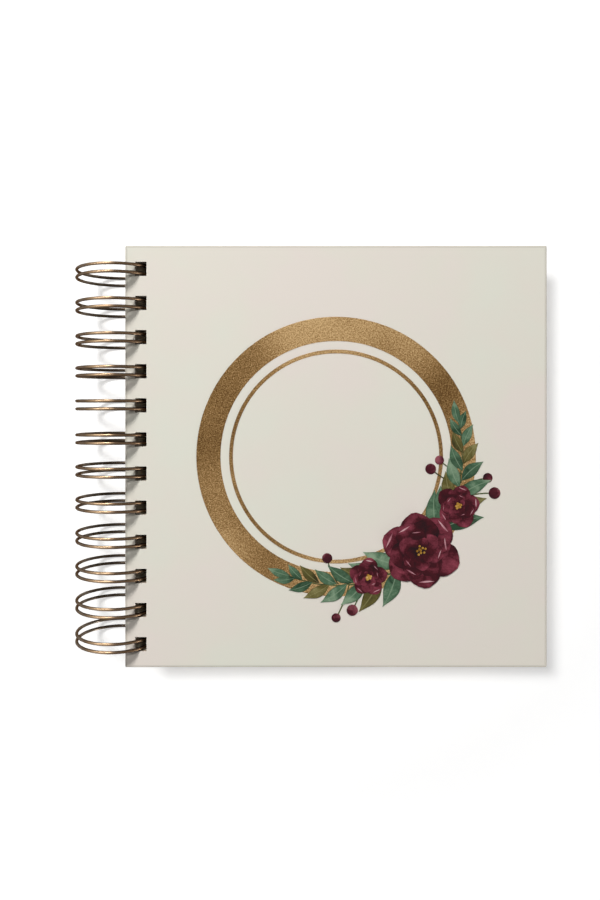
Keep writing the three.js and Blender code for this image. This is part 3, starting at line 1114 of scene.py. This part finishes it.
def watercolour(name, dark, middle, light, ribbed):
    paint, tree, shader, place = start_material(name, 0.62)
    shader.inputs["Specular IOR Level"].default_value = 0.15
    uv = tree.nodes["Texture Coordinate"].outputs["UV"]
    split = add(tree, "ShaderNodeSeparateXYZ", {"Vector": uv})
    side = add(tree, "ShaderNodeMath", {0: split.outputs["Y"], 1: 0.5}, operation="SUBTRACT")
    off_rib = add(tree, "ShaderNodeMath", {0: side.outputs[0]}, operation="ABSOLUTE")
    bloom = add(
        tree, "ShaderNodeTexNoise",
        {"Vector": place, "Scale": 1 / BLOOM, "Detail": 3.0, "Distortion": 0.8},
    )
    granules = add(tree, "ShaderNodeTexNoise", {"Vector": place, "Scale": 1 / GRANULE, "Detail": 2.0})
    wash = add(tree, "ShaderNodeAttribute", attribute_name="wash")
    grainy = add(
        tree, "ShaderNodeMath",
        {0: granules.outputs["Fac"], 1: 0.25, 2: -0.4}, operation="MULTIPLY_ADD",
    )
    pool = add(tree, "ShaderNodeMath", {0: bloom.outputs["Fac"], 1: grainy.outputs[0]}, operation="ADD")
    length = add(
        tree, "ShaderNodeMath",
        {0: split.outputs["X"], 1: 0.35, 2: pool.outputs[0]}, operation="MULTIPLY_ADD",
    )
    tone = add(
        tree, "ShaderNodeMath",
        {0: wash.outputs["Fac"], 1: 0.3, 2: length.outputs[0]}, operation="MULTIPLY_ADD",
    )
    colour = add(
        tree, "ShaderNodeValToRGB", {"Fac": tone.outputs[0]},
        stops=[(0.3, dark), (0.6, middle), (0.95, light)],
    )
    rim = add(
        tree, "ShaderNodeMapRange",
        {"Value": off_rib.outputs[0], "From Min": 0.38, "From Max": 0.5, "To Max": 0.6},
    )
    rimmed = add(
        tree, "ShaderNodeMix",
        {"Factor": rim.outputs["Result"], 6: colour.outputs["Color"], 7: linear(dark)}, data_type="RGBA",
    )
    result = rimmed
    if ribbed:
        rib = add(
            tree, "ShaderNodeMapRange",
            {"Value": off_rib.outputs[0], "From Min": 0.05, "From Max": 0.02, "To Max": 0.55},
        )
        result = add(
            tree, "ShaderNodeMix",
            {"Factor": rib.outputs["Result"], 6: rimmed.outputs[2], 7: linear(light)}, data_type="RGBA",
        )
    tree.links.new(result.outputs[2], shader.inputs["Base Color"])
    return paint


# %% Paints
paints = {
    "stem": watercolour("stem_green_watercolour", "#33381e", "#525b37", "#757f55", False),
    "berry": watercolour("plum_watercolour", "#200810", "#4a1520", "#96525c", False),
    "sage": watercolour("sage_green_watercolour", "#28412d", "#547358", "#93ab8e", True),
    "olive": watercolour("olive_watercolour", "#37331a", "#645d31", "#9b9463", True),
    "petal": watercolour("burgundy_watercolour", "#160307", "#3f0c16", "#90404f", False),
    "glint": watercolour("pale_rose_watercolour", "#8a4050", "#cb959d", "#ead3d3", False),
    "pollen": watercolour("ochre_watercolour", "#8a5f1e", "#c0913c", "#e0bf7c", False),
}
print(len(paints), "paints")

# %% [markdown]
# The shapes of each paint are joined to one piece. Its faces are extruded, and the new ones are
# flattened onto the cover paper, so every shape becomes a closed film that stands on the paper.

# %% Join the spray into one piece for each paint
for paint, pieces in laid.items():
    printed = join(f"printed_{paint}", pieces)
    bpy.ops.object.mode_set(mode="EDIT")
    bpy.ops.mesh.select_all(action="SELECT")
    bpy.ops.mesh.extrude_region_move()
    bpy.ops.transform.resize(value=(1, 1, 0), center_override=(0, 0, PAPER_TOP))
    bpy.ops.mesh.select_all(action="SELECT")
    bpy.ops.mesh.normals_make_consistent(inside=False)
    bpy.ops.object.mode_set(mode="OBJECT")
    dress(printed, paints[paint])
    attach(printed, "front_cover")
    print(printed.name, len(printed.data.polygons), "faces")
for shape in (leaf_blade, petal_blade, berry_disc, stem_blade):
    bpy.data.objects.remove(shape)

# %% [markdown]
# ## The floor
#
# A closed wire-bound book rests on the lowest points of its loops and on the fore-edge of its back
# cover, so it stands at a slight tilt to the table. The solids lie level here, so the floor takes
# the tilt. It is white to the camera and keeps the book's soft shadow.

# %% Floor
FLOOR_SIZE = 3.0  # metres, as are all sizes and places from here on

back_low, back_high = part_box("back_cover_wrap")
loops_low = AXIS.z - LOOP_RADIUS - WIRE_RADIUS
slope = math.atan2(back_low.z - loops_low, back_high.x - AXIS.x)
bpy.ops.mesh.primitive_plane_add(
    size=FLOOR_SIZE, location=(AXIS.x, 0, loops_low), rotation=(0, -slope, 0)
)
floor = bpy.context.object
floor.name = "floor"
settle(floor)
print("floor slopes", round(math.degrees(slope), 2), "degrees")

# %% White table
FLOOR_LIFT = 0.53  # so that only the deep part of the shadow is seen
LIFT_START, LIFT_END = 0.14, 0.42  # from here to here the floor fades to the plain white backdrop
TABLE_GLOW = 0.02  # what a white table sends back up to the book's sides

floor_paint = bpy.data.materials.new("white_table")
floor_paint.use_nodes = True
tree = floor_paint.node_tree
tree.nodes.clear()
path = add(tree, "ShaderNodeLightPath")
seen = add(
    tree, "ShaderNodeMath",
    {0: path.outputs["Is Camera Ray"], 1: path.outputs["Is Glossy Ray"]}, operation="MAXIMUM",
)
place = add(tree, "ShaderNodeTexCoord").outputs["Object"]
reach = add(tree, "ShaderNodeVectorMath", {0: place}, operation="LENGTH")
white = add(
    tree, "ShaderNodeMapRange",
    {"Value": reach.outputs["Value"], "From Min": LIFT_START, "From Max": LIFT_END, "To Min": FLOOR_LIFT},
)
lift = add(
    tree, "ShaderNodeMapRange",
    {"Value": seen.outputs[0], "To Min": TABLE_GLOW, "To Max": white.outputs["Result"]},
)
matt = add(tree, "ShaderNodeBsdfDiffuse", {"Color": linear("#f3f3f3")})
glow = add(tree, "ShaderNodeEmission", {"Strength": lift.outputs["Result"]})
total = add(tree, "ShaderNodeAddShader", {0: matt.outputs[0], 1: glow.outputs[0]})
add(tree, "ShaderNodeOutputMaterial", {"Surface": total.outputs[0]})
dress(floor, floor_paint)
print("made", floor_paint.name)

# %% [markdown]
# ## Light
#
# The room's walls send a little light and its ceiling none, while the camera and the gloss on metal
# see it plain white. A key lamp at the left draws a highlight on each loop. A wider one stands low
# past the head and lays the loops' long shadows down the cover. A third, lower still, stands past
# the corner of tail and fore-edge and fills the two sides that the others leave dark. Together they
# light the cover at about full strength, so its colour renders as it is written. Flags keep all
# three off the table, as in a studio. The table has a lamp of its own, so that the book throws one
# narrow shadow on it.

# %% Light from the room
DOME_LOW, DOME_HIGH = 0.2, 0.0  # strength at the horizon and overhead

world = bpy.data.worlds.new("studio")
bpy.context.scene.world = world
world.use_nodes = True
tree = world.node_tree
tree.nodes.clear()
direction = add(tree, "ShaderNodeTexCoord").outputs["Generated"]
split = add(tree, "ShaderNodeSeparateXYZ", {"Vector": direction})
dome = add(
    tree, "ShaderNodeMapRange",
    {"Value": split.outputs["Z"], "From Min": 0.0, "To Min": DOME_LOW, "To Max": DOME_HIGH},
)
print("room's light falls from", DOME_LOW, "to", DOME_HIGH)

# %% Room as the camera and gloss see it
path = add(tree, "ShaderNodeLightPath")
light = add(tree, "ShaderNodeBackground", {"Color": (1, 1, 1, 1), "Strength": dome.outputs["Result"]})
seen = add(tree, "ShaderNodeBackground", {"Color": (1, 1, 1, 1), "Strength": 1.0})
direct = add(
    tree, "ShaderNodeMath",
    {0: path.outputs["Is Camera Ray"], 1: path.outputs["Is Glossy Ray"]}, operation="MAXIMUM",
)
either = add(
    tree, "ShaderNodeMath",
    {0: direct.outputs[0], 1: path.outputs["Is Transmission Ray"]}, operation="MAXIMUM",
)
mixed = add(
    tree, "ShaderNodeMixShader",
    {0: either.outputs[0], 1: light.outputs[0], 2: seen.outputs[0]},
)
add(tree, "ShaderNodeOutputWorld", {"Surface": mixed.outputs[0]})
print("room lit")


# %% Soft lamps
def add_lamp(name, place, size, power):
    """A square area lamp aimed at the book's middle. Its power is in watts."""
    bpy.ops.object.light_add(type="AREA", location=place)
    lamp = bpy.context.object
    lamp.name = name
    lamp.data.size = size
    lamp.data.energy = power
    lamp.rotation_euler = Vector(place).to_track_quat("Z", "Y").to_euler()
    print(name, round(Vector(place).length, 2), "m away")
    return lamp


book_lamps = [
    add_lamp("key_lamp", (-0.8, 0.3, 0.8), 0.16, 3.5),
    add_lamp("head_lamp", (-0.7, 2.08, 1.22), 0.45, 68),
    add_lamp("side_lamp", (1.15, -1.25, 0.13), 0.16, 17),
]
table_lamp = add_lamp("table_lamp", (-0.42, 0.37, 0.88), 0.2, 6.9)

# %% Flags
def light_link(name, lamps, state):
    """Keeps lamps off the floor, or on the floor alone."""
    receivers = bpy.data.collections.new(name)
    receivers.objects.link(floor)
    receivers.collection_objects[0].light_linking.link_state = state
    for lamp in lamps:
        lamp.light_linking.receiver_collection = receivers
    print(name, [lamp.name for lamp in lamps])


light_link("off_the_table", book_lamps, "EXCLUDE")
light_link("on_the_table", [table_lamp], "INCLUDE")

# %% [markdown]
# The Standard view shows each colour as it is written, with no film curve over it.

# %% Plain view
bpy.context.scene.view_settings.view_transform = "Standard"
print("view", bpy.context.scene.view_settings.view_transform)
